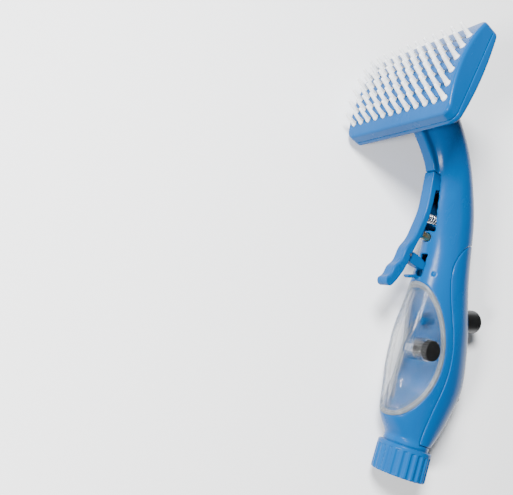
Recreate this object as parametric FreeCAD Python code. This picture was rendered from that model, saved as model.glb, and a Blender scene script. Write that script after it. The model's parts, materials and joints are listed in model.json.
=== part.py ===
"""Handheld bath sprayer: brush head, gooseneck handle, soap tank, trigger valve and soap pump.

Design frame, in millimetres: the origin is the centre of the inlet collar's open end, +Z runs up
the inlet axis, +X is forward (bristles and trigger) and +Y is towards the tank's filler plug.
Every piece is made there and then laid down on its side, the way the sprayer rests on a table.
"""
import FreeCAD, Part
import math
import os
from FreeCAD import Matrix, Placement, Rotation, Vector

# ---------------------------------------------------------------- handle
WALL = 2.2
BODY_BASE_Z = 20.6
BASE_TOP = 23.0
NECK_RING_RADIUS = 15.2
NECK_RING_Z = 16.5
# Station: (height, centre x, half depth, half width, lean in degrees from +Z towards +X).
HANDLE_STATIONS = [
    (BODY_BASE_Z, 0.0, NECK_RING_RADIUS, NECK_RING_RADIUS, 0.0),
    (27.5, -0.6, 18.2, 16.2, 0.0),
    (38.0, 0.9, 24.9, 18.2, 0.0),
    (51.0, 0.1, 28.7, 19.4, 0.0),
    (65.0, -0.1, 32.1, 20.0, 0.0),
    (78.0, 1.0, 32.5, 19.8, 0.0),
    (92.0, 2.7, 31.4, 19.2, 0.0),
    (108.0, 4.0, 28.1, 18.2, 0.0),
    (120.0, 5.8, 25.2, 17.2, 0.0),
    (157.0, 11.0, 20.4, 14.2, 4.0),
    (180.0, 16.2, 20.6, 12.8, 14.0),
    (196.0, 21.7, 19.0, 12.6, 26.0),
    (211.6, 29.0, 17.0, 13.2, 38.0),
    (230.0, 44.6, 15.8, 14.4, 49.0),
    (244.0, 63.0, 16.6, 15.6, 54.0),
    (254.0, 77.0, 17.0, 16.2, 54.0),
]
# The seam between the tank and the handle, from the front top round the back to the front bottom.
TANK_SEAM = [
    (46.0, 126.0), (31.5, 124.6), (24.6, 118.2), (17.4, 108.2), (11.2, 94.5), (8.2, 81.0),
    (8.7, 70.0), (13.2, 54.6), (19.8, 43.2), (25.2, 36.3), (34.0, 31.0), (46.0, 28.0),
]
# The seam between the back cover and the handle, from the bottom up and back over the top.
COVER_SEAM = [
    (0.0, 16.0), (4.6, 32.0), (4.2, 44.0), (0.8, 62.0), (-0.4, 80.0), (2.2, 95.0), (8.0, 110.5),
    (13.0, 125.5), (14.9, 138.5), (12.6, 150.0), (6.5, 159.0), (-4.0, 165.0), (-22.0, 168.0),
]
COVER_GAP = 0.3
SCREW_HEIGHT = 60.0
SCREW_SIDES = (-8.6, 8.6)
SCREW_FACE = -21.8
SCREW_SEAT = -24.6
SCREW_HEAD_RADIUS = 2.9
SCREW_RADIUS = 1.2
FLANK_HOLE = Vector(26.0, 8.4, 132.7)
HOOD_FRONT = [(45.9, 201.4), (49.4, 206.6), (53.6, 211.0), (61.3, 217.6), (72.0, 225.5)]
HOOD_HALF_WIDTH = 4.5

# ---------------------------------------------------------------- inlet
COLLAR_RADIUS = 18.0
COLLAR_HEIGHT = 20.0
COLLAR_FLUTES = 22
FLUTE_RADIUS = 1.9
INLET_BORE_RADIUS = 12.1
INLET_BORE_DEPTH = 7.8
SPIGOT_RADIUS = 9.0
FLANGE_RADIUS = 12.6
FLANGE_Z = 10.6
FLANGE_TOP = 13.4

# ---------------------------------------------------------------- head
HEAD_CENTRE = Vector(82.95, 0.0, 250.0)
HEAD_LEAN = 9.3
HEAD_HALF_WIDTH = 47.8
HEAD_HALF_HEIGHT = 36.6
HEAD_CORNER_RADIUS = 6.0
HEAD_EDGE_FILLET = 2.0
HEAD_WALL = 2.4
HEAD_SPLIT = -7.8
FACE_CROWN_RADIUS = 98.0
FACE_CROWN_TOP = 6.4
CROWN_HEIGHT = 1.0
BACK_CROWN_RADIUS = 230.0
BACK_CROWN_TOP = -14.9
NECK_LEAN = 52.0
NECK_END = Vector(69.6, 0, 250.6)
NECK_BORE_RADIUS = 4.7

BRISTLE_COLUMNS = 12
BRISTLE_ROWS = 6
BRISTLE_COLUMN_PITCH = 7.65
BRISTLE_ROW_PITCH = 9.5
BRISTLE_ROW_SHIFT = -2.6
BRISTLE_LENGTH = 9.2
BRISTLE_BASE_RADIUS = 2.1
BRISTLE_TIP_RADIUS = 1.3
BRISTLE_LEAN = 11.0
BRISTLE_HOLE_RADIUS = 2.25
SPRAY_HOLE_RADIUS = 0.6
PAD_THICKNESS = 1.4

# ---------------------------------------------------------------- trigger
TRIGGER_PIVOT = Vector(27.0, 0.0, 196.0)
TRIGGER_HALF_WIDTH = 4.5
TRIGGER_WALL = 1.6
# The lever's front from the top down, and its back from the tip up, in (x, z) points.
TRIGGER_FRONT = [
    (45.8, 200.6), (44.3, 187.0), (43.3, 172.0), (45.2, 158.5), (47.3, 149.5), (50.6, 142.5),
    (51.4, 137.5), (53.0, 131.5), (56.0, 127.0), (57.0, 122.5), (59.4, 118.6),
]
TRIGGER_BACK = [
    (54.0, 114.4), (49.6, 122.4), (46.4, 131.3), (44.0, 143.0), (41.2, 153.6), (39.0, 166.0),
    (38.7, 178.0), (39.6, 189.0),
]
TRIGGER_BOSS_RADIUS = 4.6
PIN_RADIUS = 1.5
PIN_HALF_LENGTH = 8.5
RUNNING_GAP = 0.05
SLOT_HALF_WIDTH = 5.2
LATCH_PIVOT = Vector(45.4, 0.0, 139.0)
LATCH_PIN_RADIUS = 1.0

# ---------------------------------------------------------------- valve
STEM_HEIGHT = 157.5
STEM_RADIUS = 2.65
STEM_HEAD_X = 39.2
VALVE_SEAT_X = 10.0
VALVE_INLET_X = 6.0
VALVE_OUTLET_X = 14.6

# ---------------------------------------------------------------- soap system
PUMP_MOUTH = Vector(9.7, 0.0, 104.0)
PUMP_TILT = 17.3
PUMP_NOSE_RADIUS = 6.2
PISTON_BORE_RADIUS = 4.4
PISTON_FRONT = 19.0
PISTON_LENGTH = 4.0
SOAP_OUTLET = 14.5
BUTTON_RADIUS = 8.4
BUTTON_TOP = 45.5
BUTTON_FLOOR = 43.4
FILLER = Vector(21.0, 0.0, 82.0)
FILLER_OUTER_RADIUS = 7.4
FILLER_BORE_RADIUS = 5.6
PLUG_RADIUS = 6.8
PLUG_RIB_COUNT = 20
TANK_WALL = 1.8
GASKET_WIDTH = 1.9
WALL_RECESS = 2.6

# ---------------------------------------------------------------- how it lies
REST_ROLL = 16.32
REST_PITCH = 1.61


# ================================================================ helpers
def up(z):
    """A point on the inlet axis."""
    return Vector(0, 0, z)


def box(x_range, y_range, z_range):
    """An upright box between two x, two y and two z values."""
    size = [high - low for low, high in (x_range, y_range, z_range)]
    return Part.makeBox(*size, Vector(x_range[0], y_range[0], z_range[0]))


def cylinder(radius, start, end):
    """A cylinder between two points."""
    axis = end - start
    return Part.makeCylinder(radius, axis.Length, start, axis)


def tube(outer, inner, start, end):
    """A straight tube between two points, open at both ends."""
    reach = (end - start).normalize()
    return cylinder(outer, start, end).cut(cylinder(inner, start - reach, end + reach))


def slab(profile, half_width):
    """A closed wire in the XZ plane, extruded to both sides of it."""
    face = Part.Face(profile)
    face.translate(Vector(0, -half_width, 0))
    return face.extrude(Vector(0, 2 * half_width, 0))


def polygon(points):
    """A closed wire through (x, z) points in the XZ plane."""
    corners = [Vector(x, 0, z) for x, z in points]
    return Part.makePolygon(corners + corners[:1])


def spline(points):
    """A smooth edge through (x, z) points in the XZ plane."""
    curve = Part.BSplineCurve()
    curve.interpolate([Vector(x, 0, z) for x, z in points])
    return curve.toShape()


def line(start, end):
    """A straight edge between two (x, z) points in the XZ plane."""
    return Part.LineSegment(Vector(start[0], 0, start[1]), Vector(end[0], 0, end[1])).toShape()


def arc(start, middle, end):
    """A circular edge through three (x, z) points in the XZ plane."""
    return Part.Arc(*[Vector(x, 0, z) for x, z in (start, middle, end)]).toShape()


def shifted(points, distance):
    """The (x, z) points of a curve moved sideways, to the right of its direction."""
    moved = []
    last = len(points) - 1
    for i, (x, z) in enumerate(points):
        ahead = points[min(i + 1, last)]
        behind = points[max(i - 1, 0)]
        dx, dz = ahead[0] - behind[0], ahead[1] - behind[1]
        run = math.hypot(dx, dz)
        moved.append((x + distance * dz / run, z - distance * dx / run))
    return moved


def largest(shape):
    """The biggest solid of a shape, without the slivers a cut can leave."""
    return max(shape.Solids, key=lambda solid: solid.Volume)


def coil(start, end, mean_radius, wire_radius, turns):
    """A helical compression spring between two points."""
    axis = end - start
    helix = Part.makeHelix(axis.Length / turns, axis.Length, mean_radius)
    section = Part.Wire(Part.makeCircle(wire_radius, Vector(mean_radius, 0, 0), Vector(0, 1, 0)))
    spring = Part.Wire(helix).makePipeShell([section], True, True)
    spring.Placement = Placement(start, Rotation(Vector(0, 0, 1), axis))
    return spring


def bent_path(points, radius):
    """A wire of straight runs joined by tangent arcs of one radius."""
    edges = []
    start = points[0]
    for before, corner, after in zip(points, points[1:], points[2:]):
        inward = (corner - before).normalize()
        outward = (after - corner).normalize()
        half_turn = inward.getAngle(outward) / 2
        setback = radius * math.tan(half_turn)
        first = corner - inward * setback
        last = corner + outward * setback
        bisector = (outward - inward).normalize()
        middle = corner + bisector * (radius / math.cos(half_turn) - radius)
        edges.append(Part.LineSegment(start, first).toShape())
        edges.append(Part.Arc(first, middle, last).toShape())
        start = last
    edges.append(Part.LineSegment(start, points[-1]).toShape())
    return Part.Wire(edges)


def hose(points, bend_radius, outer, inner):
    """A bent tube with an open bore."""
    path = bent_path(points, bend_radius)
    heading = points[1] - points[0]
    walls = [Part.Wire(Part.makeCircle(radius, points[0], heading)) for radius in (outer, inner)]
    skin, bore = [path.makePipeShell([wall], True, False) for wall in walls]
    return skin.cut(bore)


# ================================================================ handle
def oval(height, centre, half_depth, half_width, lean, shrink=0.0):
    """One closed cross-section of the handle, made smaller all round by shrink."""
    scale = Matrix()
    scale.scale(Vector(half_depth - shrink, half_width - shrink, 1))
    ring = Part.makeCircle(1.0).transformGeometry(scale)
    ring.Placement = Placement(Vector(centre, 0, height), Rotation(Vector(0, 1, 0), lean))
    return Part.Wire(ring)


def handle_loft(shrink):
    """The handle's outer form, or the same form a wall thickness further in."""
    return Part.makeLoft([oval(*station, shrink) for station in HANDLE_STATIONS], True)


OUTER = handle_loft(0.0)
INNER = handle_loft(WALL)

def tank_zone(grow):
    """Everything in front of the tank seam, made larger by grow."""
    seam = shifted(TANK_SEAM, grow)
    corners = [seam[-1], (70.0, seam[-1][1]), (70.0, seam[0][1]), seam[0]]
    edges = [spline(seam)] + [line(a, b) for a, b in zip(corners, corners[1:])]
    return slab(Part.Wire(edges), 60.0)


def cover_zone(gap):
    """Everything behind the back cover's seam, pulled back by gap."""
    seam = shifted(COVER_SEAM, -gap)
    corners = [seam[-1], (-70.0, seam[-1][1]), (-70.0, seam[0][1]), seam[0]]
    edges = [spline(seam)] + [line(a, b) for a, b in zip(corners, corners[1:])]
    return slab(Part.Wire(edges), 60.0)


def on_screw(x, y):
    """A point on the axis of the cover screw at this side."""
    return Vector(x, y, SCREW_HEIGHT)


def screw_post(y):
    """A post behind the tank wall that takes one cover screw."""
    return tube(3.2, SCREW_RADIUS + RUNNING_GAP, on_screw(4.5, y), on_screw(SCREW_FACE, y))


def make_housing():
    """The handle's one-piece moulding: shell, tank wall, trigger hood, slots and screw posts."""
    shell = OUTER.cut(INNER).cut(tank_zone(GASKET_WIDTH)).cut(cover_zone(0.0))
    shell = shell.fuse(cylinder(NECK_RING_RADIUS, up(NECK_RING_Z), up(BASE_TOP)))
    recess = GASKET_WIDTH + WALL_RECESS
    tank_wall = OUTER.common(tank_zone(recess + WALL)).cut(tank_zone(recess))
    shell = shell.fuse([tank_wall, trigger_hood()])
    shell = shell.fuse([screw_post(y).common(OUTER) for y in SCREW_SIDES])
    shell = shell.fuse(catch_lip())
    shell = shell.cut(head_space())
    shell = shell.cut(cylinder(SPIGOT_RADIUS + RUNNING_GAP, up(10), up(26)))
    shell = shell.cut(box((22.0, 60.0), (-SLOT_HALF_WIDTH, SLOT_HALF_WIDTH), (162.0, 200.8)))
    shell = shell.cut(cylinder(STEM_RADIUS + 0.3, on_stem(18.0), on_stem(40.0)))
    shell = shell.cut(box((22.0, 36.0), (-3.0, 3.0), (129.4, 146.0)))
    shell = shell.cut(pin_between(PIN_RADIUS, TRIGGER_PIVOT, PIN_HALF_LENGTH + 0.1))
    shell = shell.cut(cylinder(1.3, FLANK_HOLE, FLANK_HOLE + Vector(0, 10, 0)))
    shell = shell.cut(pump_cylinder(PUMP_NOSE_RADIUS, -8.0, 8.0))
    return largest(shell)


def pin_between(radius, centre, half_length):
    """A round pin along Y, centred on a point."""
    reach = Vector(0, half_length, 0)
    return cylinder(radius, centre - reach, centre + reach)


def trigger_hood():
    """The narrow rib under the gooseneck that carries the line of the trigger up to the head."""
    corners = [HOOD_FRONT[-1], (60.0, 240.0), (30.0, 220.0), (20.0, 201.4), HOOD_FRONT[0]]
    edges = [spline(HOOD_FRONT)] + [line(a, b) for a, b in zip(corners, corners[1:])]
    rib = slab(Part.Wire(edges), HOOD_HALF_WIDTH)
    rounded = [e for e in rib.Edges if is_front_edge(e)]
    rib = rib.makeFillet(1.3, rounded)
    return rib.cut(INNER)


def is_front_edge(edge):
    """True for the two long edges along the hood's front."""
    middle = edge.valueAt((edge.FirstParameter + edge.LastParameter) / 2)
    on_side = abs(abs(middle.y) - HOOD_HALF_WIDTH) < 0.01
    return on_side and edge.Length > 30 and middle.z < 218


def catch_lip():
    """The small shelf above the tank that the lock latch hooks over."""
    shelf = polygon([(24.0, 127.2), (33.0, 127.2), (39.4, 124.8), (40.8, 125.4), (40.8, 126.8),
                     (34.5, 129.2), (24.0, 129.2)])
    return slab(shelf, 2.2).cut(INNER)


def pump_point(along, side=0.0):
    """A point on the soap pump's axis, measured back from its mouth in the tank wall."""
    tilt = math.radians(PUMP_TILT)
    return PUMP_MOUTH + Vector(-along * math.cos(tilt), side, along * math.sin(tilt))


def pump_cylinder(radius, start, end):
    """A cylinder on the soap pump's axis."""
    return cylinder(radius, pump_point(start), pump_point(end))


def pump_ring(outer, inner, start, end):
    """A tube on the soap pump's axis."""
    return tube(outer, inner, pump_point(start), pump_point(end))


def make_back_cover():
    """The curved grip panel that closes the back of the handle."""
    cover = OUTER.cut(INNER).common(cover_zone(COVER_GAP))
    cover = cover.cut(box((-30.0, 30.0), (-30.0, 30.0), (BODY_BASE_Z - 1, BASE_TOP + COVER_GAP)))
    cover = cover.cut(pump_cylinder(BUTTON_RADIUS + 0.6, 20.0, 60.0))
    for y in SCREW_SIDES:
        boss = cylinder(4.4, on_screw(SCREW_FACE - 0.1, y), on_screw(-40, y))
        cover = cover.fuse(boss.common(OUTER))
        cover = cover.cut(cylinder(SCREW_RADIUS + 0.5, on_screw(-10, y), on_screw(-60, y)))
        cover = cover.cut(cylinder(SCREW_HEAD_RADIUS + 0.4, on_screw(SCREW_SEAT, y), on_screw(-60, y)))
    return largest(cover)


def make_cover_screws():
    """Two self-tapping screws that hold the back cover on."""
    screws = []
    for y in SCREW_SIDES:
        head = cylinder(SCREW_HEAD_RADIUS, on_screw(SCREW_SEAT - 1.6, y), on_screw(SCREW_SEAT, y))
        shank = cylinder(SCREW_RADIUS, on_screw(SCREW_SEAT, y), on_screw(-11.0, y))
        top = (SCREW_SEAT - 2.0, SCREW_SEAT - 0.7)
        slot = box(top, (y - 0.4, y + 0.4), (SCREW_HEIGHT - 1.9, SCREW_HEIGHT + 1.9))
        cross = box(top, (y - 1.9, y + 1.9), (SCREW_HEIGHT - 0.4, SCREW_HEIGHT + 0.4))
        screws.append(head.fuse(shank).cut(slot).cut(cross))
    return Part.Compound(screws)


# ================================================================ inlet
def make_collar_nut():
    """The fluted swivel nut with the hose thread's bore."""
    nut = cylinder(COLLAR_RADIUS, up(0), up(COLLAR_HEIGHT))
    rims = [e for e in nut.Edges if e.Length > 50 and len(e.Vertexes) == 1]
    nut = nut.makeChamfer(1.0, rims)
    for i in range(COLLAR_FLUTES):
        angle = 2 * math.pi * i / COLLAR_FLUTES
        foot = Vector(math.cos(angle), math.sin(angle), 0) * (COLLAR_RADIUS + 0.9)
        nut = nut.cut(cylinder(FLUTE_RADIUS, foot + up(-1), foot + up(COLLAR_HEIGHT - 3.2)))
    nut = nut.cut(cylinder(INLET_BORE_RADIUS, up(-1), up(INLET_BORE_DEPTH)))
    nut = nut.cut(cylinder(FLANGE_RADIUS + 0.8, up(INLET_BORE_DEPTH), up(14.0)))
    nut = nut.cut(cylinder(SPIGOT_RADIUS + 0.9, up(13.0), up(17.0)))
    return nut.cut(cylinder(NECK_RING_RADIUS + 0.6, up(14.0 + WALL), up(30.0)))


def make_inlet_spigot():
    """The barbed water inlet that the collar nut turns on."""
    pipe = cylinder(SPIGOT_RADIUS, up(FLANGE_Z), up(30.0))
    flange = cylinder(FLANGE_RADIUS, up(FLANGE_Z), up(FLANGE_TOP))
    shoulder = cylinder(11.0, up(BASE_TOP), up(26.0))
    barb = Part.makeCone(6.2, 5.4, 8.0, up(30.0))
    spigot = pipe.fuse([flange, shoulder, barb])
    return spigot.cut([cylinder(4.0, up(9), up(40)), cylinder(7.0, up(9), up(20))])


def make_inlet_washer():
    """The flat rubber washer at the bottom of the thread."""
    return tube(INLET_BORE_RADIUS - 0.2, 7.4, up(FLANGE_Z - 2.7), up(FLANGE_Z - 0.2))


def make_filter_screen():
    """The perforated debris screen in the inlet."""
    screen = cylinder(6.9, up(12.0), up(12.8))
    ring = tube(6.9, 5.9, up(12.8), up(15.0))
    hole_pitch = 1.9
    for i in range(-3, 4):
        for j in range(-3, 4):
            if math.hypot(i, j) < 3.1:
                foot = Vector(i * hole_pitch, j * hole_pitch, 11)
                screen = screen.cut(cylinder(0.6, foot, foot + up(3)))
    return screen.fuse(ring)


# ================================================================ water path
def make_supply_tube():
    """The water hose from the inlet up past the soap pump to the valve."""
    route = [up(38.4), up(47.0), Vector(-7, 0, 62), Vector(-8, 0, 78), Vector(-4, -10.2, 97),
             Vector(0, -9.6, 124), Vector(5.6, -0.6, 139), Vector(VALVE_INLET_X, 0, 147.3)]
    return hose(route, 7.0, 3.9, 2.7)


def on_stem(x):
    """A point on the axis of the valve stem."""
    return Vector(x, 0, STEM_HEIGHT)


def make_valve_body():
    """The valve block across the handle: inlet chamber, seat web, outlet chamber and spring well."""
    block = cylinder(8.2, on_stem(-0.8), on_stem(22.0))
    well = cylinder(5.2, on_stem(-4.4), on_stem(0.0))
    inlet = cylinder(5.0, Vector(VALVE_INLET_X, 0, 147.8), on_stem(VALVE_INLET_X))
    outlet = cylinder(5.0, on_stem(VALVE_OUTLET_X), Vector(VALVE_OUTLET_X, 0, 167.4))
    block = block.fuse([well, inlet, outlet])
    hollows = [
        cylinder(4.2, on_stem(-2.8), on_stem(2.0)),
        cylinder(5.6, on_stem(1.0), on_stem(VALVE_SEAT_X)),
        cylinder(3.4, on_stem(VALVE_SEAT_X - 1), on_stem(VALVE_SEAT_X + 2)),
        cylinder(5.6, on_stem(VALVE_SEAT_X + 1.4), on_stem(23.0)),
        cylinder(2.7, Vector(VALVE_INLET_X, 0, 140), on_stem(VALVE_INLET_X)),
        cylinder(3.0, on_stem(VALVE_OUTLET_X), Vector(VALVE_OUTLET_X, 0, 170)),
    ]
    return block.cut(hollows)


def make_valve_gland():
    """The brass gland nut that guides the valve stem."""
    nut = cylinder(5.55, on_stem(18.4), on_stem(26.4))
    nut = nut.fuse(cylinder(7.4, on_stem(22.2), on_stem(24.4)))
    return nut.cut(cylinder(STEM_RADIUS + RUNNING_GAP, on_stem(17.0), on_stem(28.0)))


def make_valve_stem():
    """The brass push stem with its domed head, its thin waist and the poppet behind the seat."""
    push_rod = cylinder(STEM_RADIUS, on_stem(17.0), on_stem(STEM_HEAD_X))
    rims = [e for e in push_rod.Edges if len(e.Vertexes) == 1 and e.CenterOfMass.x > STEM_HEAD_X - 1]
    push_rod = push_rod.makeFillet(1.0, rims)
    waist = cylinder(1.6, on_stem(VALVE_SEAT_X - 1.7), on_stem(17.1))
    poppet = cylinder(4.6, on_stem(VALVE_SEAT_X - 3.4), on_stem(VALVE_SEAT_X - 1.6))
    return push_rod.fuse([waist, poppet])


def make_stem_seal():
    """The rubber seal ring between the poppet and the seat."""
    return Part.makeTorus(4.2, 0.78, on_stem(VALVE_SEAT_X - 0.8), Vector(1, 0, 0))


def make_valve_spring():
    """The closing spring behind the poppet."""
    return coil(on_stem(-2.4), on_stem(VALVE_SEAT_X - 3.8), 3.3, 0.4, 5)


def make_outlet_tube():
    """The water hose from the valve through the gooseneck to the head."""
    route = [Vector(VALVE_OUTLET_X, 0, 168.1), Vector(12.6, 0, 184), Vector(17.4, 0, 203),
             Vector(30.0, 0, 219), Vector(47.0, 0, 233.5), on_neck(-12.3)]
    return hose(route, 16.0, 4.6, 3.2)


# ================================================================ head
def head_place(shape):
    """Moves a shape from the head's own axes (X outward, Y across, Z up) onto the handle."""
    place = Placement(HEAD_CENTRE, Rotation(Vector(0, 1, 0), -HEAD_LEAN))
    shape.Placement = place.multiply(shape.Placement)
    return shape


def rounded_rectangle(outward, inset, corner_radius):
    """A rounded rectangle across the head, at a distance outward and inset from the head's edge."""
    half_y = HEAD_HALF_WIDTH - inset
    half_z = HEAD_HALF_HEIGHT - inset
    plate = Part.makeBox(1, 2 * half_y, 2 * half_z, Vector(outward, -half_y, -half_z))
    corners = [e for e in plate.Edges if abs(e.Length - 1) < 1e-6]
    plate = plate.makeFillet(corner_radius, corners)
    face = min(plate.Faces, key=lambda f: f.CenterOfMass.x)
    return face.OuterWire


def head_prism(low, high, inset):
    """A straight rounded block of the head's outline."""
    wires = [rounded_rectangle(x, inset, HEAD_CORNER_RADIUS - inset * 0.6) for x in (low, high)]
    return Part.makeLoft(wires, True, True)


def crown(depth):
    """The round bar that gives the face its convex curve, depth below the surface."""
    centre = Vector(FACE_CROWN_TOP - FACE_CROWN_RADIUS, 0, CROWN_HEIGHT)
    return pin_between(FACE_CROWN_RADIUS - depth, centre, 60)


def back_crown(depth):
    """The round bar that gives the back of the head its slight curve, depth below the surface."""
    centre = Vector(BACK_CROWN_TOP + BACK_CROWN_RADIUS, 0, CROWN_HEIGHT)
    return pin_between(BACK_CROWN_RADIUS - depth, centre, 60)


def soft_rim(block, radius):
    """The block with the rim of its curved face rounded; the face is known by its radius."""
    curved = [face for face in block.Faces if is_round(face, radius)]
    return block.makeFillet(HEAD_EDGE_FILLET, curved[0].OuterWire.Edges)


def is_round(face, radius):
    """True for a cylindrical face of this radius."""
    return isinstance(face.Surface, Part.Cylinder) and abs(face.Surface.Radius - radius) < 0.01


def face_form(depth):
    """The solid form of the face, or the same form moved in by depth."""
    return head_prism(HEAD_SPLIT, 12.0, depth).common(crown(depth))


def bristle_places():
    """The foot and direction of every bristle, on the crown of the face."""
    lean = math.radians(BRISTLE_LEAN)
    direction = Vector(math.cos(lean), 0, math.sin(lean))
    places = []
    for row in range(BRISTLE_ROWS):
        z = (row - (BRISTLE_ROWS - 1) / 2) * BRISTLE_ROW_PITCH + BRISTLE_ROW_SHIFT
        from_crown = z - CROWN_HEIGHT
        x = FACE_CROWN_TOP - FACE_CROWN_RADIUS + math.sqrt(FACE_CROWN_RADIUS ** 2 - from_crown ** 2)
        for column in range(BRISTLE_COLUMNS):
            y = (column - (BRISTLE_COLUMNS - 1) / 2) * BRISTLE_COLUMN_PITCH
            places.append((Vector(x, y, z), direction))
    return places


def spray_places():
    """The centre of every spray hole, midway between four bristles."""
    places = []
    for row in range(BRISTLE_ROWS - 1):
        z = (row - (BRISTLE_ROWS - 2) / 2) * BRISTLE_ROW_PITCH + BRISTLE_ROW_SHIFT
        for column in range(BRISTLE_COLUMNS - 1):
            y = (column - (BRISTLE_COLUMNS - 2) / 2) * BRISTLE_COLUMN_PITCH
            places.append(Vector(0, y, z))
    return places


def spray_drills():
    """The drills for all the spray holes."""
    behind, ahead = Vector(-5, 0, 0), Vector(15, 0, 0)
    return [cylinder(SPRAY_HOLE_RADIUS, spot + behind, spot + ahead) for spot in spray_places()]


def make_spray_face_plate():
    """The front half of the head, pierced for the bristles and the spray."""
    plate = soft_rim(face_form(0.0), FACE_CROWN_RADIUS).cut(face_form(HEAD_WALL))
    drills = spray_drills()
    for foot, way in bristle_places():
        drills.append(cylinder(BRISTLE_HOLE_RADIUS, foot - way * 5, foot + way * 5))
    return head_place(largest(plate.cut(Part.Compound(drills))))


def make_bristle_pad():
    """The white pad behind the face plate with its tapered bristles."""
    sheet = crown(HEAD_WALL + 0.05).cut(crown(HEAD_WALL + 0.05 + PAD_THICKNESS))
    sheet = sheet.common(head_prism(-6.0, 10.0, 5.0))
    bristles = []
    for foot, way in bristle_places():
        root = foot - way * (HEAD_WALL + 1.2)
        bristle = Part.makeCylinder(BRISTLE_BASE_RADIUS, HEAD_WALL + 1.2, root, way)
        cone = Part.makeCone(BRISTLE_BASE_RADIUS, BRISTLE_TIP_RADIUS, BRISTLE_LENGTH, foot, way)
        tip = Part.makeSphere(BRISTLE_TIP_RADIUS, foot + way * BRISTLE_LENGTH)
        bristles.append(bristle.fuse([cone, tip]))
    pad = sheet.fuse(bristles)
    return head_place(largest(pad.cut(Part.Compound(spray_drills()))))


def make_head_gasket():
    """The rubber ring between the two halves of the head."""
    low, high = HEAD_SPLIT - 1.4, HEAD_SPLIT + 0.2
    ring = head_prism(low, high, HEAD_WALL + 0.1)
    return head_place(ring.cut(head_prism(low - 1, high + 1, HEAD_WALL + 1.9)))


def make_head_rear_shell():
    """The back half of the head, with the spigot that plugs into the gooseneck."""
    shell = head_prism(-20.0, HEAD_SPLIT - 0.2, 0.0).common(back_crown(0.0))
    hollow = head_prism(-20.0, HEAD_SPLIT + 1.0, HEAD_WALL).common(back_crown(HEAD_WALL))
    ledge = head_prism(HEAD_SPLIT - 1.5, HEAD_SPLIT + 1, HEAD_WALL)
    shell = head_place(soft_rim(shell, BACK_CROWN_RADIUS).cut(hollow).cut(ledge))
    shell = shell.cut(cylinder(NECK_BORE_RADIUS, on_neck(-12.0), on_neck(6.0)))
    spigot = tube(7.0, NECK_BORE_RADIUS, on_neck(-12.0), NECK_END)
    base = tube(9.0, NECK_BORE_RADIUS, on_neck(-4.0), NECK_END)
    return largest(shell.fuse([spigot, base]))


def neck_way():
    """The direction of the gooseneck where it meets the head."""
    lean = math.radians(NECK_LEAN)
    return Vector(math.sin(lean), 0, math.cos(lean))


def on_neck(along):
    """A point on the axis of the head's spigot, measured from its root in the head."""
    return NECK_END + neck_way() * along


def head_space():
    """The room the head takes out of the end of the gooseneck."""
    return head_place(back_crown(-0.2))


def make_neck_seal():
    """The O-ring round the head's spigot."""
    return Part.makeTorus(7.9, 0.85, on_neck(-8.0), neck_way())


# ================================================================ trigger
def trigger_profile(front, back):
    """The closed outline of the lever, between a front curve and a back curve."""
    x, z, boss = TRIGGER_PIVOT.x, TRIGGER_PIVOT.z, TRIGGER_BOSS_RADIUS
    arm = [back[-1], (33.0, 191.5), (x, z - boss)]
    edges = [spline(front), arc(front[-1], (58.6, 114.0), back[0]), spline(back)]
    edges += [line(a, b) for a, b in zip(arm, arm[1:])]
    edges += [arc((x, z - boss), (x - boss, z), (x, z + boss)), line((x, z + boss), front[0])]
    return Part.Wire(edges)


def make_trigger():
    """The squeeze lever: a channel that is open towards the handle, with a pad for the valve stem."""
    lever = slab(trigger_profile(TRIGGER_FRONT, TRIGGER_BACK), TRIGGER_HALF_WIDTH)
    rims = [e for e in lever.Edges if is_lever_front(e)]
    lever = lever.makeFillet(1.2, rims)
    inner_front = shifted(TRIGGER_FRONT[2:-1], TRIGGER_WALL + 0.4)
    corners = [inner_front[-1], (42.0, 116.0), (30.0, 150.0), (30.0, inner_front[0][1]), inner_front[0]]
    hollow = [spline(inner_front)] + [line(a, b) for a, b in zip(corners, corners[1:])]
    pocket = slab(Part.Wire(hollow), TRIGGER_HALF_WIDTH - TRIGGER_WALL)
    pad_half_width = TRIGGER_HALF_WIDTH - 0.5
    pad = box((STEM_HEAD_X + 0.2, 44.0), (-pad_half_width, pad_half_width), (153.6, 161.4))
    lever = lever.cut(pocket).fuse(pad)
    lever = lever.cut(pin_between(PIN_RADIUS + RUNNING_GAP, TRIGGER_PIVOT, 10))
    return largest(lever.cut(pin_between(LATCH_PIN_RADIUS, LATCH_PIVOT, 10)))


def is_lever_front(edge):
    """True for the two long edges along the lever's front."""
    middle = edge.valueAt((edge.FirstParameter + edge.LastParameter) / 2)
    return abs(abs(middle.y) - TRIGGER_HALF_WIDTH) < 0.01 and edge.Length > 80 and middle.x > 43.0


def make_trigger_pin():
    """The steel pin that the trigger swings on."""
    return pin_between(PIN_RADIUS, TRIGGER_PIVOT, PIN_HALF_LENGTH)


def make_trigger_spring():
    """The return spring between the handle and the trigger."""
    return coil(Vector(25.2, 0, 172.0), Vector(38.2, 0, 170.0), 2.9, 0.45, 6)


def make_spring_seat():
    """The moulded cup in the slot that holds the trigger spring."""
    cup = cylinder(4.4, Vector(20.9, 0, 172.5), Vector(27.4, 0, 171.7))
    return cup.cut(cylinder(3.6, Vector(24.4, 0, 172.07), Vector(28.4, 0, 171.6)))


def make_lock_latch():
    """The small lever that hooks over the lip and keeps the trigger squeezed."""
    outline = polygon([(47.2, 141.2), (41.0, 142.6), (33.0, 141.0), (28.8, 139.4), (28.8, 134.4),
                       (34.6, 134.2), (41.5, 134.6), (46.4, 137.0)])
    latch = slab(outline, TRIGGER_HALF_WIDTH - TRIGGER_WALL - 0.3)
    return latch.cut(pin_between(LATCH_PIN_RADIUS + RUNNING_GAP, LATCH_PIVOT, 10))


def make_latch_pin():
    """The pin that the lock latch turns on."""
    return pin_between(LATCH_PIN_RADIUS, LATCH_PIVOT, TRIGGER_HALF_WIDTH)


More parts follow.
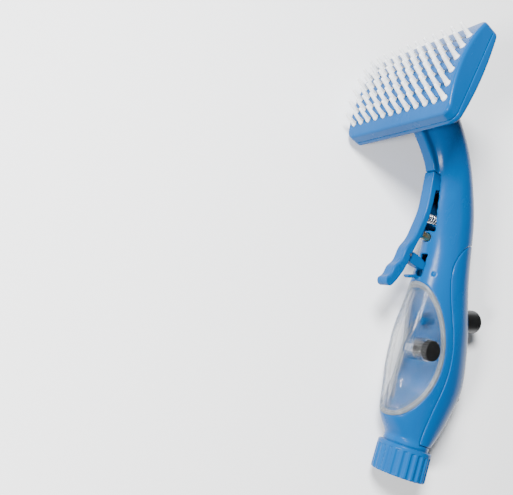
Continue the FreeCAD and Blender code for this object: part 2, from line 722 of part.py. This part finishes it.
# ================================================================ soap tank
def make_soap_tank():
    """The clear tank, with its outlet to the pump and the opening for the filler neck."""
    inner_form = handle_loft(TANK_WALL)
    tank = OUTER.common(tank_zone(0.0))
    tank = tank.cut(inner_form.common(tank_zone(-TANK_WALL)))
    tank = tank.cut(cylinder(FILLER_OUTER_RADIUS + 0.02, FILLER, FILLER + Vector(0, 40, 0)))
    return largest(tank.cut(pump_cylinder(2.6, -10.0, 10.0)))


def make_tank_gasket():
    """The pale seal that shows as a rim round the tank."""
    strip = OUTER.common(tank_zone(GASKET_WIDTH - 0.05)).cut(tank_zone(0.05))
    return largest(strip.cut(handle_loft(3.0)))


def make_filler_neck():
    """The clear filler neck through the side of the tank."""
    mouth = FILLER + Vector(0, 17.4, 0)
    return tube(FILLER_OUTER_RADIUS, FILLER_BORE_RADIUS, FILLER + Vector(0, 2.2, 0), mouth)


def make_filler_plug():
    """The black rubber plug in the filler neck."""
    head = cylinder(PLUG_RADIUS, FILLER + Vector(0, 17.6, 0), FILLER + Vector(0, 22.2, 0))
    rims = [e for e in head.Edges if len(e.Vertexes) == 1 and e.CenterOfMass.y > 22]
    head = head.makeFillet(0.9, rims)
    for i in range(PLUG_RIB_COUNT):
        angle = 2 * math.pi * i / PLUG_RIB_COUNT
        foot = FILLER + Vector(math.cos(angle), 0, math.sin(angle)) * (PLUG_RADIUS + 0.15)
        head = head.cut(cylinder(0.5, foot + Vector(0, 18.4, 0), foot + Vector(0, 23, 0)))
    stem = cylinder(FILLER_BORE_RADIUS - 0.05, FILLER + Vector(0, 9.0, 0), FILLER + Vector(0, 17.7, 0))
    return head.fuse(stem)


def make_dip_tube():
    """The pick-up tube from the pump's mouth to the bottom of the tank."""
    start = pump_point(-7.6)
    route = [start, pump_point(-11.6), Vector(18.0, -7.5, 84.0), Vector(19.0, -7.0, 62.0),
             Vector(22.6, -1.5, 47.0)]
    return hose(route, 2.2, 1.7, 1.1)


# ================================================================ soap pump
def make_pump_barrel():
    """The pump cylinder between the tank wall and the back cover."""
    barrel = pump_cylinder(6.0, 4.5, 25.0)
    nose = pump_cylinder(2.5, -7.5, 4.6)
    barrel = barrel.fuse(nose)
    outlet = [pump_point(SOAP_OUTLET, 4.8), pump_point(SOAP_OUTLET, 9.2)]
    barrel = barrel.fuse(cylinder(0.95, *outlet))
    barrel = barrel.cut([pump_cylinder(PISTON_BORE_RADIUS, 8.0, 26.0), pump_cylinder(1.3, -8.0, 9.0)])
    return barrel.cut(cylinder(0.5, pump_point(SOAP_OUTLET, 3.0), pump_point(SOAP_OUTLET, 10.0)))


def make_pump_piston():
    """The piston that the soap button drives."""
    groove = pump_ring(4.5, 3.5, PISTON_FRONT + 1.4, PISTON_FRONT + 2.6)
    end = PISTON_FRONT + PISTON_LENGTH
    return pump_cylinder(PISTON_BORE_RADIUS - RUNNING_GAP, PISTON_FRONT, end).cut(groove)


def make_piston_seal():
    """The O-ring in the piston's groove."""
    return Part.makeTorus(3.9, 0.4, pump_point(PISTON_FRONT + 2.0), pump_point(1.0) - pump_point(0.0))


def make_soap_button():
    """The black button on the back, with the rod that reaches the piston."""
    cap = pump_cylinder(BUTTON_RADIUS, 28.0, BUTTON_TOP)
    top = pump_point(BUTTON_TOP)
    rims = [e for e in cap.Edges if len(e.Vertexes) == 1 and (e.CenterOfMass - top).Length < 1]
    cap = cap.makeFillet(1.4, rims)
    cap = cap.cut(pump_cylinder(BUTTON_RADIUS - 1.6, 27.0, BUTTON_FLOOR))
    return cap.fuse(pump_cylinder(2.2, PISTON_FRONT + PISTON_LENGTH, BUTTON_FLOOR + 0.6))


def make_button_spring():
    """The return spring inside the soap button."""
    return coil(pump_point(25.6), pump_point(BUTTON_FLOOR - 0.8), 5.0, 0.5, 5)


def make_button_guide():
    """The ring in the back cover that guides the button."""
    return pump_ring(BUTTON_RADIUS + 0.55, BUTTON_RADIUS + 0.1, 25.6, 40.0).common(OUTER)


def make_check_ball():
    """The steel ball of the pump's inlet valve."""
    return Part.makeSphere(2.4, pump_point(10.2))


def make_soap_hose():
    """The thin hose from the pump to the water outlet above the valve."""
    start = pump_point(SOAP_OUTLET, 6.2)
    route = [start, start + Vector(0, 4.9, 0), start + Vector(2.0, 4.9, 12.0),
             Vector(5.0, 10.6, 138.0), Vector(10.0, 9.9, 150.0),
             Vector(VALVE_OUTLET_X, 9.6, 165.7), Vector(VALVE_OUTLET_X, 5.1, 165.7)]
    return hose(route, 2.4, 1.4, 1.0)


# ================================================================ assembly
PIECES = {
    "main_housing": make_housing,
    "back_cover": make_back_cover,
    "cover_screws": make_cover_screws,
    "collar_nut": make_collar_nut,
    "inlet_spigot": make_inlet_spigot,
    "inlet_washer": make_inlet_washer,
    "filter_screen": make_filter_screen,
    "supply_tube": make_supply_tube,
    "valve_body": make_valve_body,
    "valve_gland": make_valve_gland,
    "valve_stem": make_valve_stem,
    "valve_stem_seal": make_stem_seal,
    "valve_spring": make_valve_spring,
    "outlet_tube": make_outlet_tube,
    "spray_face_plate": make_spray_face_plate,
    "bristle_pad": make_bristle_pad,
    "head_gasket": make_head_gasket,
    "head_rear_shell": make_head_rear_shell,
    "neck_seal": make_neck_seal,
    "trigger": make_trigger,
    "trigger_pin": make_trigger_pin,
    "trigger_spring": make_trigger_spring,
    "spring_seat": make_spring_seat,
    "lock_latch": make_lock_latch,
    "latch_pin": make_latch_pin,
    "soap_tank": make_soap_tank,
    "tank_gasket": make_tank_gasket,
    "filler_neck": make_filler_neck,
    "filler_plug": make_filler_plug,
    "dip_tube": make_dip_tube,
    "pump_barrel": make_pump_barrel,
    "pump_piston": make_pump_piston,
    "piston_seal": make_piston_seal,
    "soap_button": make_soap_button,
    "button_spring": make_button_spring,
    "button_guide": make_button_guide,
    "pump_check_ball": make_check_ball,
    "soap_hose": make_soap_hose,
}


def resting_turn():
    """How the sprayer lies: filler plug up, handle along Y, on the head's back corner and the belly."""
    on_side = Rotation(Vector(0, 1, 1), 180)
    roll = Rotation(Vector(0, 1, 0), REST_ROLL)
    pitch = Rotation(Vector(1, 0, 0), REST_PITCH)
    return pitch.multiply(roll).multiply(on_side)


def resting_place(shapes):
    """The same turn, moved so that the floor is z = 0 and the whole is centred on x = y = 0."""
    turned = Part.Compound(shapes)
    turned.Placement = Placement(Vector(0, 0, 0), resting_turn())
    reach = turned.optimalBoundingBox(False)
    centre = reach.Center
    return Placement(Vector(-centre.x, -centre.y, -reach.ZMin), resting_turn())


def main():
    """Builds every piece in the design frame and writes it as it lies on the floor."""
    os.makedirs("parts", exist_ok=True)
    shapes = {name: make() for name, make in PIECES.items()}
    place = resting_place(list(shapes.values()))
    for name, shape in shapes.items():
        shape.Placement = place.multiply(shape.Placement)
        shape.exportStep("parts/" + name + ".step")


if __name__ == "__main__":
    main()
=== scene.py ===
"""The looks of the handheld bath sprayer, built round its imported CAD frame.

The moulded shells are rebuilt from the CAD nodes as fine, soft-edged skins, small real details
are added by mesh code, and every piece gets a procedural material. All sizes are in metres.
"""
import json
import math

import bmesh
import bpy
from mathutils import Matrix, Vector


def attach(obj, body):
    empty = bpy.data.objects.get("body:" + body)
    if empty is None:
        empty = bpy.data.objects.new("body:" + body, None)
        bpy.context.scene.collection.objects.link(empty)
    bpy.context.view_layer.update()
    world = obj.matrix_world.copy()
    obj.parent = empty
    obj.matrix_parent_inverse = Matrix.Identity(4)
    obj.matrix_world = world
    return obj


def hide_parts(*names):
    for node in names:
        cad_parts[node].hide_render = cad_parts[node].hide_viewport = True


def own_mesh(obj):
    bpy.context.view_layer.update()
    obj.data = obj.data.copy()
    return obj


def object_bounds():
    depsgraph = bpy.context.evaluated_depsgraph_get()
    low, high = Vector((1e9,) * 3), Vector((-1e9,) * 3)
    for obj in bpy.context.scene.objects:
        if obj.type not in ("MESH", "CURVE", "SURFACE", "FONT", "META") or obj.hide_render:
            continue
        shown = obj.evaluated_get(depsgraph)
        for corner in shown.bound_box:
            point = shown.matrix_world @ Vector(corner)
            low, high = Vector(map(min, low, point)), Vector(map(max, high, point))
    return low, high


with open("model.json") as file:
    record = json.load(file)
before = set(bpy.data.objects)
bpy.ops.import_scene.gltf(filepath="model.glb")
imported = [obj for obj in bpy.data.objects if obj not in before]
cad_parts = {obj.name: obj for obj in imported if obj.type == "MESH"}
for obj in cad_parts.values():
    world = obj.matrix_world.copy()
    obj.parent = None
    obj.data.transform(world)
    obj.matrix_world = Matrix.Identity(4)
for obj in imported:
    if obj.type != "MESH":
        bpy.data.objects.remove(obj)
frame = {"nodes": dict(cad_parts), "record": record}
cad_low, cad_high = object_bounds()
record = frame["record"]
SLOT_OF = {row["node"]: row["material_slot"] for row in record["subparts"]}
BODY_OF = {node: body for body, nodes in record["behaviour"]["bodies"].items() for node in nodes}
MM = 0.001

# Shared looks of the plastics and rubbers.
PLASTIC_IOR = 1.3
SOFT_SPECULAR = 0.3
# How pointed an edge is where the handling wear starts, and where it is full.
WEAR_START = 0.52
WEAR_FULL = 0.62


# ================================================================ shader helpers
def start_material(name):
    """A new node material: the material, its tree, its shader and the object coordinates."""
    material = bpy.data.materials.new(name)
    material.use_nodes = True
    tree = material.node_tree
    shader = tree.nodes["Principled BSDF"]
    coords = tree.nodes.new("ShaderNodeTexCoord").outputs["Object"]
    return material, tree, shader, coords


def noise(tree, coords, scale, detail=3.0, roughness=0.5, stretch=None):
    """A noise value; stretch scales the coordinates along X, Y and Z first."""
    if stretch:
        mapping = tree.nodes.new("ShaderNodeMapping")
        mapping.inputs["Scale"].default_value = stretch
        tree.links.new(coords, mapping.inputs["Vector"])
        coords = mapping.outputs["Vector"]
    node = tree.nodes.new("ShaderNodeTexNoise")
    node.inputs["Scale"].default_value = scale
    node.inputs["Detail"].default_value = detail
    node.inputs["Roughness"].default_value = roughness
    tree.links.new(coords, node.inputs["Vector"])
    return node.outputs["Fac"]


def spread(tree, value, low, high, from_low=0.3, from_high=0.7):
    """Maps a value to the range from low to high."""
    node = tree.nodes.new("ShaderNodeMapRange")
    node.inputs["From Min"].default_value = from_low
    node.inputs["From Max"].default_value = from_high
    node.inputs["To Min"].default_value = low
    node.inputs["To Max"].default_value = high
    tree.links.new(value, node.inputs["Value"])
    return node.outputs["Result"]


def blend_colors(tree, factor, first, second):
    """Mixes two colours, each an RGBA tuple or a socket, by a factor socket."""
    node = tree.nodes.new("ShaderNodeMix")
    node.data_type = "RGBA"
    tree.links.new(factor, node.inputs[0])
    for socket, color in ((node.inputs[6], first), (node.inputs[7], second)):
        if isinstance(color, tuple):
            socket.default_value = color
        else:
            tree.links.new(color, socket)
    return node.outputs[2]


def add(tree, first, second, weight):
    """first + weight * second."""
    node = tree.nodes.new("ShaderNodeMath")
    node.operation = "MULTIPLY_ADD"
    tree.links.new(second, node.inputs[0])
    node.inputs[1].default_value = weight
    tree.links.new(first, node.inputs[2])
    return node.outputs["Value"]


def bump(tree, shader, height, distance, strength=1.0):
    """Feeds a height, at a real distance in metres, to the shader's normal."""
    node = tree.nodes.new("ShaderNodeBump")
    node.inputs["Strength"].default_value = strength
    node.inputs["Distance"].default_value = distance
    tree.links.new(height, node.inputs["Height"])
    tree.links.new(node.outputs["Normal"], shader.inputs["Normal"])


def worn_edges(tree):
    """A value that is high on convex edges, where handling polishes and lightens the plastic."""
    pointiness = tree.nodes.new("ShaderNodeNewGeometry").outputs["Pointiness"]
    return spread(tree, pointiness, 0.0, 1.0, WEAR_START, WEAR_FULL)


def fine_scratches(tree, coords):
    """Thin handling scratches in two directions, as a height value."""
    first = noise(tree, coords, 60, 2, 0.4, (1, 14, 14))
    second = noise(tree, coords, 60, 2, 0.4, (12, 1, 9))
    return add(tree, first, second, 1.0)


# ================================================================ materials
def moulded_plastic(name, deep, bright, rough=0.24, grain=0.5):
    """Glossy moulded plastic: faint flow marks, orange peel, dust, scratches and worn edges."""
    material, tree, shader, coords = start_material(name)
    flow = noise(tree, coords, 22, 4, 0.55, (1, 0.35, 1))
    base = blend_colors(tree, spread(tree, flow, 0, 1), deep, bright)
    dust = noise(tree, coords, 900, 2, 0.6)
    pale = tuple(min(1.0, c * 1.6 + 0.06) for c in bright[:3]) + (1.0,)
    dusty = blend_colors(tree, spread(tree, dust, 0.0, 0.05, 0.62, 0.78), base, pale)
    edge_share = spread(tree, worn_edges(tree), 0.0, 0.10, 0.0, 1.0)
    tree.links.new(blend_colors(tree, edge_share, dusty, pale), shader.inputs["Base Color"])
    smears = noise(tree, coords, 45, 5, 0.65, (1, 0.6, 1))
    tree.links.new(spread(tree, smears, rough - 0.06, rough + 0.08), shader.inputs["Roughness"])
    peel = noise(tree, coords, 420, 2, 0.5)
    height = add(tree, peel, fine_scratches(tree, coords), 0.35)
    bump(tree, shader, height, 0.00003 * grain, 0.6)
    shader.inputs["IOR"].default_value = PLASTIC_IOR
    shader.inputs["Specular IOR Level"].default_value = SOFT_SPECULAR
    return material


def clear_plastic(name, color, haze_rough, cover):
    """Clear moulded plastic with faint haze and scratches; cover is how solid it is seen square on."""
    material, tree, shader, coords = start_material(name)
    haze = noise(tree, coords, 38, 4, 0.6, (1, 0.5, 1))
    paler = tuple(min(1.0, c + 0.03) for c in color[:3]) + (1.0,)
    tint = blend_colors(tree, spread(tree, haze, 0, 1), color, paler)
    tree.links.new(tint, shader.inputs["Base Color"])
    tree.links.new(spread(tree, haze, haze_rough, haze_rough + 0.08), shader.inputs["Roughness"])
    height = add(tree, noise(tree, coords, 70, 2), fine_scratches(tree, coords), 0.3)
    bump(tree, shader, height, 0.00012, 0.6)
    facing = tree.nodes.new("ShaderNodeLayerWeight")
    facing.inputs["Blend"].default_value = 0.4
    solidity = spread(tree, facing.outputs["Facing"], cover, 1.0, 0.2, 1.0)
    tree.links.new(solidity, shader.inputs["Alpha"])
    shader.inputs["IOR"].default_value = PLASTIC_IOR
    shader.inputs["Transmission Weight"].default_value = 1.0
    return material


def soft_rubber(name, deep, bright, rough, grain_scale, depth, sheen=0.0, glow=0.0):
    """Moulded rubber or soft plastic with a fine matt grain."""
    material, tree, shader, coords = start_material(name)
    cloud = noise(tree, coords, 60, 4, 0.6)
    base = blend_colors(tree, spread(tree, cloud, 0, 1), deep, bright)
    dust = spread(tree, noise(tree, coords, 1100, 2, 0.6), 0.0, 0.08, 0.62, 0.8)
    pale = tuple(min(1.0, c * 0.8 + 0.12) for c in bright[:3]) + (1.0,)
    dusty = blend_colors(tree, dust, base, pale)
    edge = spread(tree, worn_edges(tree), 0.0, 0.18, 0.0, 1.0)
    tree.links.new(blend_colors(tree, edge, dusty, pale), shader.inputs["Base Color"])
    tree.links.new(spread(tree, cloud, rough - 0.08, rough + 0.1), shader.inputs["Roughness"])
    grain = add(tree, noise(tree, coords, grain_scale, 3, 0.6), noise(tree, coords, 160, 2), 0.6)
    bump(tree, shader, grain, depth, 0.7)
    shader.inputs["Sheen Weight"].default_value = sheen
    shader.inputs["Specular IOR Level"].default_value = SOFT_SPECULAR
    shader.inputs["Subsurface Weight"].default_value = glow
    shader.inputs["Subsurface Radius"].default_value = (0.003, 0.0028, 0.0025)
    shader.inputs["Subsurface Scale"].default_value = 1.0
    return material


def turned_metal(name, deep, bright, rough, stretch):
    """Machined or drawn metal, with fine tool marks across its length and a few dull spots."""
    material, tree, shader, coords = start_material(name)
    marks = noise(tree, coords, 500, 3, 0.6, stretch)
    stain = noise(tree, coords, 180, 4, 0.6)
    tone = add(tree, marks, stain, 0.6)
    tint = blend_colors(tree, spread(tree, tone, 0, 1, 0.5, 1.1), deep, bright)
    tree.links.new(tint, shader.inputs["Base Color"])
    dullness = spread(tree, tone, rough - 0.08, rough + 0.16, 0.5, 1.1)
    tree.links.new(dullness, shader.inputs["Roughness"])
    bump(tree, shader, tone, 0.00003, 0.6)
    shader.inputs["Metallic"].default_value = 1.0
    return material


def floor_material():
    """A plain, pale, matt tabletop."""
    material, tree, shader, coords = start_material("tabletop")
    patch = noise(tree, coords, 3, 3)
    tone = blend_colors(tree, spread(tree, patch, 0, 1), (0.93, 0.93, 0.935, 1), (0.95, 0.95, 0.95, 1))
    tree.links.new(tone, shader.inputs["Base Color"])
    tree.links.new(spread(tree, patch, 0.5, 0.62), shader.inputs["Roughness"])
    shader.inputs["Specular IOR Level"].default_value = 0.25
    return material


BLUE = moulded_plastic("azure_plastic", (0.0, 0.061, 0.21, 1), (0.0, 0.080, 0.26, 1))
MATERIALS = {
    "shell_blue": BLUE,
    "tank_clear": clear_plastic("clear_plastic", (0.96, 0.98, 0.99, 1), 0.0, 0.22),
    "bristle_white": soft_rubber("white_bristles", (0.78, 0.79, 0.79, 1), (0.90, 0.90, 0.89, 1),
                                 0.42, 900, 0.00003, 0.1, 0.25),
    "soft_black": soft_rubber("black_rubber", (0.002, 0.002, 0.002, 1), (0.005, 0.005, 0.005, 1),
                              0.42, 1300, 0.00005),
    "button_black": soft_rubber("black_plastic", (0.002, 0.002, 0.002, 1), (0.005, 0.005, 0.005, 1),
                                0.30, 700, 0.00003),
    "seal_grey": soft_rubber("milky_seal", (0.09, 0.11, 0.13, 1), (0.14, 0.16, 0.18, 1),
                             0.3, 500, 0.00003, 0.0, 0.2),
    "seal_black": soft_rubber("black_seal", (0.012, 0.012, 0.012, 1), (0.03, 0.03, 0.03, 1),
                              0.6, 1500, 0.00003),
    "brass": turned_metal("turned_brass", (0.42, 0.27, 0.09, 1), (0.80, 0.60, 0.28, 1),
                          0.26, (0.2, 3, 3)),
    "steel": turned_metal("bright_steel", (0.42, 0.43, 0.45, 1), (0.75, 0.76, 0.78, 1),
                          0.22, (3, 0.4, 3)),
    "hose_white": clear_plastic("milky_hose", (0.78, 0.84, 0.88, 1), 0.20, 0.25),
    "valve_white": soft_rubber("acetal", (0.62, 0.62, 0.60, 1), (0.74, 0.74, 0.72, 1),
                               0.36, 800, 0.00003),
}
# The pump's nose shows blue through the tank, although its slot is the valve's plastic.
MATERIAL_OF = {node: MATERIALS[slot] for node, slot in SLOT_OF.items()}
MATERIAL_OF["pump_barrel"] = BLUE


# ================================================================ mesh helpers
WELD_DISTANCE = 1e-6
SOFTEN_FACTOR = 0.5


def link(name, mesh):
    """A new object in the scene."""
    piece = bpy.data.objects.new(name, mesh)
    bpy.context.scene.collection.objects.link(piece)
    return piece


def apply_modifiers(piece):
    """Replaces the piece's mesh by what its modifiers make of it."""
    graph = bpy.context.evaluated_depsgraph_get()
    made = bpy.data.meshes.new_from_object(piece.evaluated_get(graph))
    old = piece.data
    piece.modifiers.clear()
    piece.data = made
    bpy.data.meshes.remove(old)
    for polygon in made.polygons:
        polygon.use_smooth = True
    return piece


def welded_copy(node):
    """A copy of a CAD node's mesh with the faces sewn together."""
    mesh = frame["nodes"][node].data.copy()
    shape = bmesh.new()
    shape.from_mesh(mesh)
    bmesh.ops.remove_doubles(shape, verts=shape.verts, dist=WELD_DISTANCE)
    shape.to_mesh(mesh)
    shape.free()
    mesh.materials.clear()
    return mesh


def finish_piece(piece, node):
    """Gives a piece its node's material and body, and hides the CAD node it stands in for."""
    piece.data.materials.clear()
    piece.data.materials.append(MATERIAL_OF[node])
    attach(piece, BODY_OF[node])
    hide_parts(node)
    return piece


def soft_skin(node, voxel, rounds):
    """The node's form as one fine quad skin whose edges are rounded as a mould leaves them."""
    piece = link(node + "_skin", welded_copy(node))
    remesh = piece.modifiers.new("grid", "REMESH")
    remesh.mode = "VOXEL"
    remesh.voxel_size = voxel * MM
    smooth = piece.modifiers.new("soften", "SMOOTH")
    smooth.factor = SOFTEN_FACTOR
    smooth.iterations = rounds
    apply_modifiers(piece)
    return finish_piece(piece, node)


# ================================================================ pieces
# Node: (grid size in millimetres, rounds of softening).
SKINS = {
    "main_housing": (0.55, 7),
    "back_cover": (0.55, 7),
    "collar_nut": (0.40, 3),
    "spray_face_plate": (0.40, 3),
    "head_rear_shell": (0.50, 4),
    "trigger": (0.32, 4),
    "lock_latch": (0.25, 4),
    "soap_tank": (0.40, 8),
    "tank_gasket": (0.35, 3),
    "filler_neck": (0.30, 3),
    "filler_plug": (0.26, 2),
    "soap_button": (0.32, 4),
    "button_guide": (0.22, 1),
    "pump_barrel": (0.30, 2),
    "dip_tube": (0.25, 3),
}


def make_skins():
    """Every moulded piece that shows."""
    for node, (voxel, rounds) in SKINS.items():
        soft_skin(node, voxel, rounds)


# Spring: (joint that presses it, joint whose slide runs along it, its travel in millimetres).
SPRINGS = {
    "valve_spring": ("valve_push", "valve_push", 5.6),
    "trigger_spring": ("trigger_squeeze", "valve_push", 3.8),
    "button_spring": ("soap_press", "soap_press", 4.7),
}


def make_springs():
    """The three springs, each a smooth-shaded copy of its CAD node with the node's material and body.
    """
    for node, (joint, slide, travel) in SPRINGS.items():
        piece = link(node + "_coil", welded_copy(node))
        for polygon in piece.data.polygons:
            polygon.use_smooth = True
        finish_piece(piece, node)
        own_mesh(piece)


# The head's own axes: out of the bristle face, across the head and up it.
HEAD_CENTRE = Vector((-0.043192, 0.106338, 0.049734))
HEAD_OUT = Vector((-0.947093, 0.153749, 0.281739))
HEAD_ACROSS = Vector((0.281002, -0.026964, 0.959328))
HEAD_UP = Vector((0.155092, 0.987742, -0.017666))
# Sizes on the head, in millimetres: the face's crown, the field of bristles and the pad's sheet.
CROWN_RADIUS = 98.0
CROWN_TOP = 6.4
CROWN_HEIGHT = 1.0
BRISTLE_COLUMNS = 12
BRISTLE_ROWS = 6
COLUMN_PITCH = 7.65
ROW_PITCH = 9.5
ROW_SHIFT = -2.6
BRISTLE_LEAN = math.radians(11.0)
PAD_TOP = 2.5
PAD_BOTTOM = 3.8
PAD_HALF_WIDTH = 42.5
PAD_HALF_HEIGHT = 31.0
PAD_STEPS = 24
# A bristle's (distance from its foot, radius), from its root in the pad to its soft end.
BRISTLE_PROFILE = [
    (-3.4, 2.08), (-0.5, 2.08), (0.0, 2.02), (0.35, 1.78), (1.1, 1.6), (3.5, 1.42), (6.5, 1.2),
    (9.0, 1.02), (9.8, 0.92), (10.2, 0.68), (10.4, 0.3),
]
BRISTLE_SIDES = 18


def on_head(out, across, up):
    """A point given in millimetres along the head's own axes."""
    return HEAD_CENTRE + (HEAD_OUT * out + HEAD_ACROSS * across + HEAD_UP * up) * MM


def crown(up, depth):
    """How far out the curved face is at a height, depth below its surface."""
    reach = CROWN_RADIUS - depth
    return CROWN_TOP - CROWN_RADIUS + math.sqrt(reach ** 2 - (up - CROWN_HEIGHT) ** 2)


def add_bristle(shape, across, up):
    """One turned, tapered bristle with a flared foot and a soft, closed end."""
    foot = on_head(crown(up, 0.0), across, up)
    way = HEAD_OUT * math.cos(BRISTLE_LEAN) + HEAD_UP * math.sin(BRISTLE_LEAN)
    side = way.cross(HEAD_ACROSS).normalized()
    rings = []
    for along, radius in BRISTLE_PROFILE:
        ring = []
        for i in range(BRISTLE_SIDES):
            angle = 2 * math.pi * i / BRISTLE_SIDES
            spoke = HEAD_ACROSS * math.cos(angle) + side * math.sin(angle)
            ring.append(shape.verts.new(foot + (way * along + spoke * radius) * MM))
        rings.append(ring)
    for lower, upper in zip(rings, rings[1:]):
        for i in range(BRISTLE_SIDES):
            j = (i + 1) % BRISTLE_SIDES
            shape.faces.new((lower[j], lower[i], upper[i], upper[j]))
    shape.faces.new(rings[0])
    shape.faces.new(list(reversed(rings[-1])))


def add_pad_sheet(shape):
    """The curved sheet behind the face plate that the bristles grow from."""
    profile = []
    rising = range(PAD_STEPS + 1)
    for depth, heights in ((PAD_TOP, rising), (PAD_BOTTOM, reversed(rising))):
        for i in heights:
            up = PAD_HALF_HEIGHT * (2 * i / PAD_STEPS - 1)
            profile.append((crown(up, depth), up))
    ends = []
    for across in (-PAD_HALF_WIDTH, PAD_HALF_WIDTH):
        ends.append([shape.verts.new(on_head(out, across, up)) for out, up in profile])
    count = len(profile)
    for i in range(count):
        j = (i + 1) % count
        shape.faces.new((ends[0][i], ends[0][j], ends[1][j], ends[1][i]))
    for end, flip in ((ends[0], True), (ends[1], False)):
        for i in range(PAD_STEPS):
            quad = [end[i], end[i + 1], end[count - 2 - i], end[count - 1 - i]]
            shape.faces.new(list(reversed(quad)) if flip else quad)


def make_bristle_pad():
    """The white pad with its field of bristles."""
    shape = bmesh.new()
    add_pad_sheet(shape)
    for row in range(BRISTLE_ROWS):
        up = (row - (BRISTLE_ROWS - 1) / 2) * ROW_PITCH + ROW_SHIFT
        for column in range(BRISTLE_COLUMNS):
            across = (column - (BRISTLE_COLUMNS - 1) / 2) * COLUMN_PITCH
            add_bristle(shape, across, up)
    bmesh.ops.recalc_face_normals(shape, faces=shape.faces)
    mesh = bpy.data.meshes.new("bristle_field")
    shape.to_mesh(mesh)
    shape.free()
    for polygon in mesh.polygons:
        polygon.use_smooth = True
    return finish_piece(link("bristle_field", mesh), "bristle_pad")


def dress_cad_nodes():
    """Gives the pieces that stay as the CAD made them their materials."""
    for name, node in frame["nodes"].items():
        node.data.materials.clear()
        node.data.materials.append(MATERIAL_OF[name])


# ================================================================ stage
CAMERA_PLACE = Vector((-0.1845, -0.1213, 0.3941))
CAMERA_LOOK = Vector((0.2074, 0.2239, -0.9523))
CAMERA_UP = Vector((-0.3544, 0.9245, 0.1402))
CAMERA_LENS = 42.1
SENSOR_WIDTH = 36.0
NEAREST_SEEN = 0.01
# Light: (place from the sprayer's centre, width of its square, power in watts, colour).
LIGHTS = {
    "key": (Vector((-0.62, -0.48, 0.56)), 0.20, 14.0, (1.0, 0.99, 0.97)),
    "overhead": (Vector((-0.52, 0.34, 0.86)), 0.28, 30.0, (0.97, 0.985, 1.0)),
}
SKY_COLOR = (0.93, 0.96, 1.0, 1)
SKY_STRENGTH = 0.2
TABLE_HALF_WIDTH = 1.6


def make_camera():
    """The camera, above the sprayer's tank side and rolled as the sprayer lies in the view."""
    data = bpy.data.cameras.new("camera")
    data.lens = CAMERA_LENS
    data.sensor_width = SENSOR_WIDTH
    data.clip_start = NEAREST_SEEN
    camera = bpy.data.objects.new("camera", data)
    bpy.context.scene.collection.objects.link(camera)
    look = CAMERA_LOOK.normalized()
    right = look.cross(CAMERA_UP).normalized()
    up = right.cross(look)
    turn = Matrix((right, up, -look)).transposed().to_4x4()
    camera.matrix_world = Matrix.Translation(CAMERA_PLACE) @ turn
    bpy.context.scene.camera = camera


def make_light(name, place, target, size, power, color):
    """A square soft light aimed at a point."""
    data = bpy.data.lights.new(name, "AREA")
    data.size = size
    data.energy = power
    data.color = color
    light = bpy.data.objects.new(name, data)
    bpy.context.scene.collection.objects.link(light)
    light.location = place
    light.rotation_euler = (target - place).to_track_quat("-Z", "Y").to_euler()


def make_lights():
    """A key from the trigger side near the collar, a soft light overhead and a dim surround."""
    centre = (cad_low + cad_high) / 2
    for name, (offset, size, power, color) in LIGHTS.items():
        make_light(name, centre + offset, centre, size, power, color)
    world = bpy.data.worlds.new("surround")
    world.use_nodes = True
    sky = world.node_tree.nodes["Background"]
    sky.inputs["Color"].default_value = SKY_COLOR
    sky.inputs["Strength"].default_value = SKY_STRENGTH
    bpy.context.scene.world = world


def make_floor():
    """The table that the sprayer lies on."""
    half = TABLE_HALF_WIDTH
    mesh = bpy.data.meshes.new("tabletop")
    corners = [(-half, -half, 0), (half, -half, 0), (half, half, 0), (-half, half, 0)]
    mesh.from_pydata(corners, [], [(0, 1, 2, 3)])
    floor = link("tabletop", mesh)
    floor.data.materials.append(floor_material())


make_camera()
dress_cad_nodes()
make_skins()
make_bristle_pad()
make_springs()
make_floor()
make_lights()
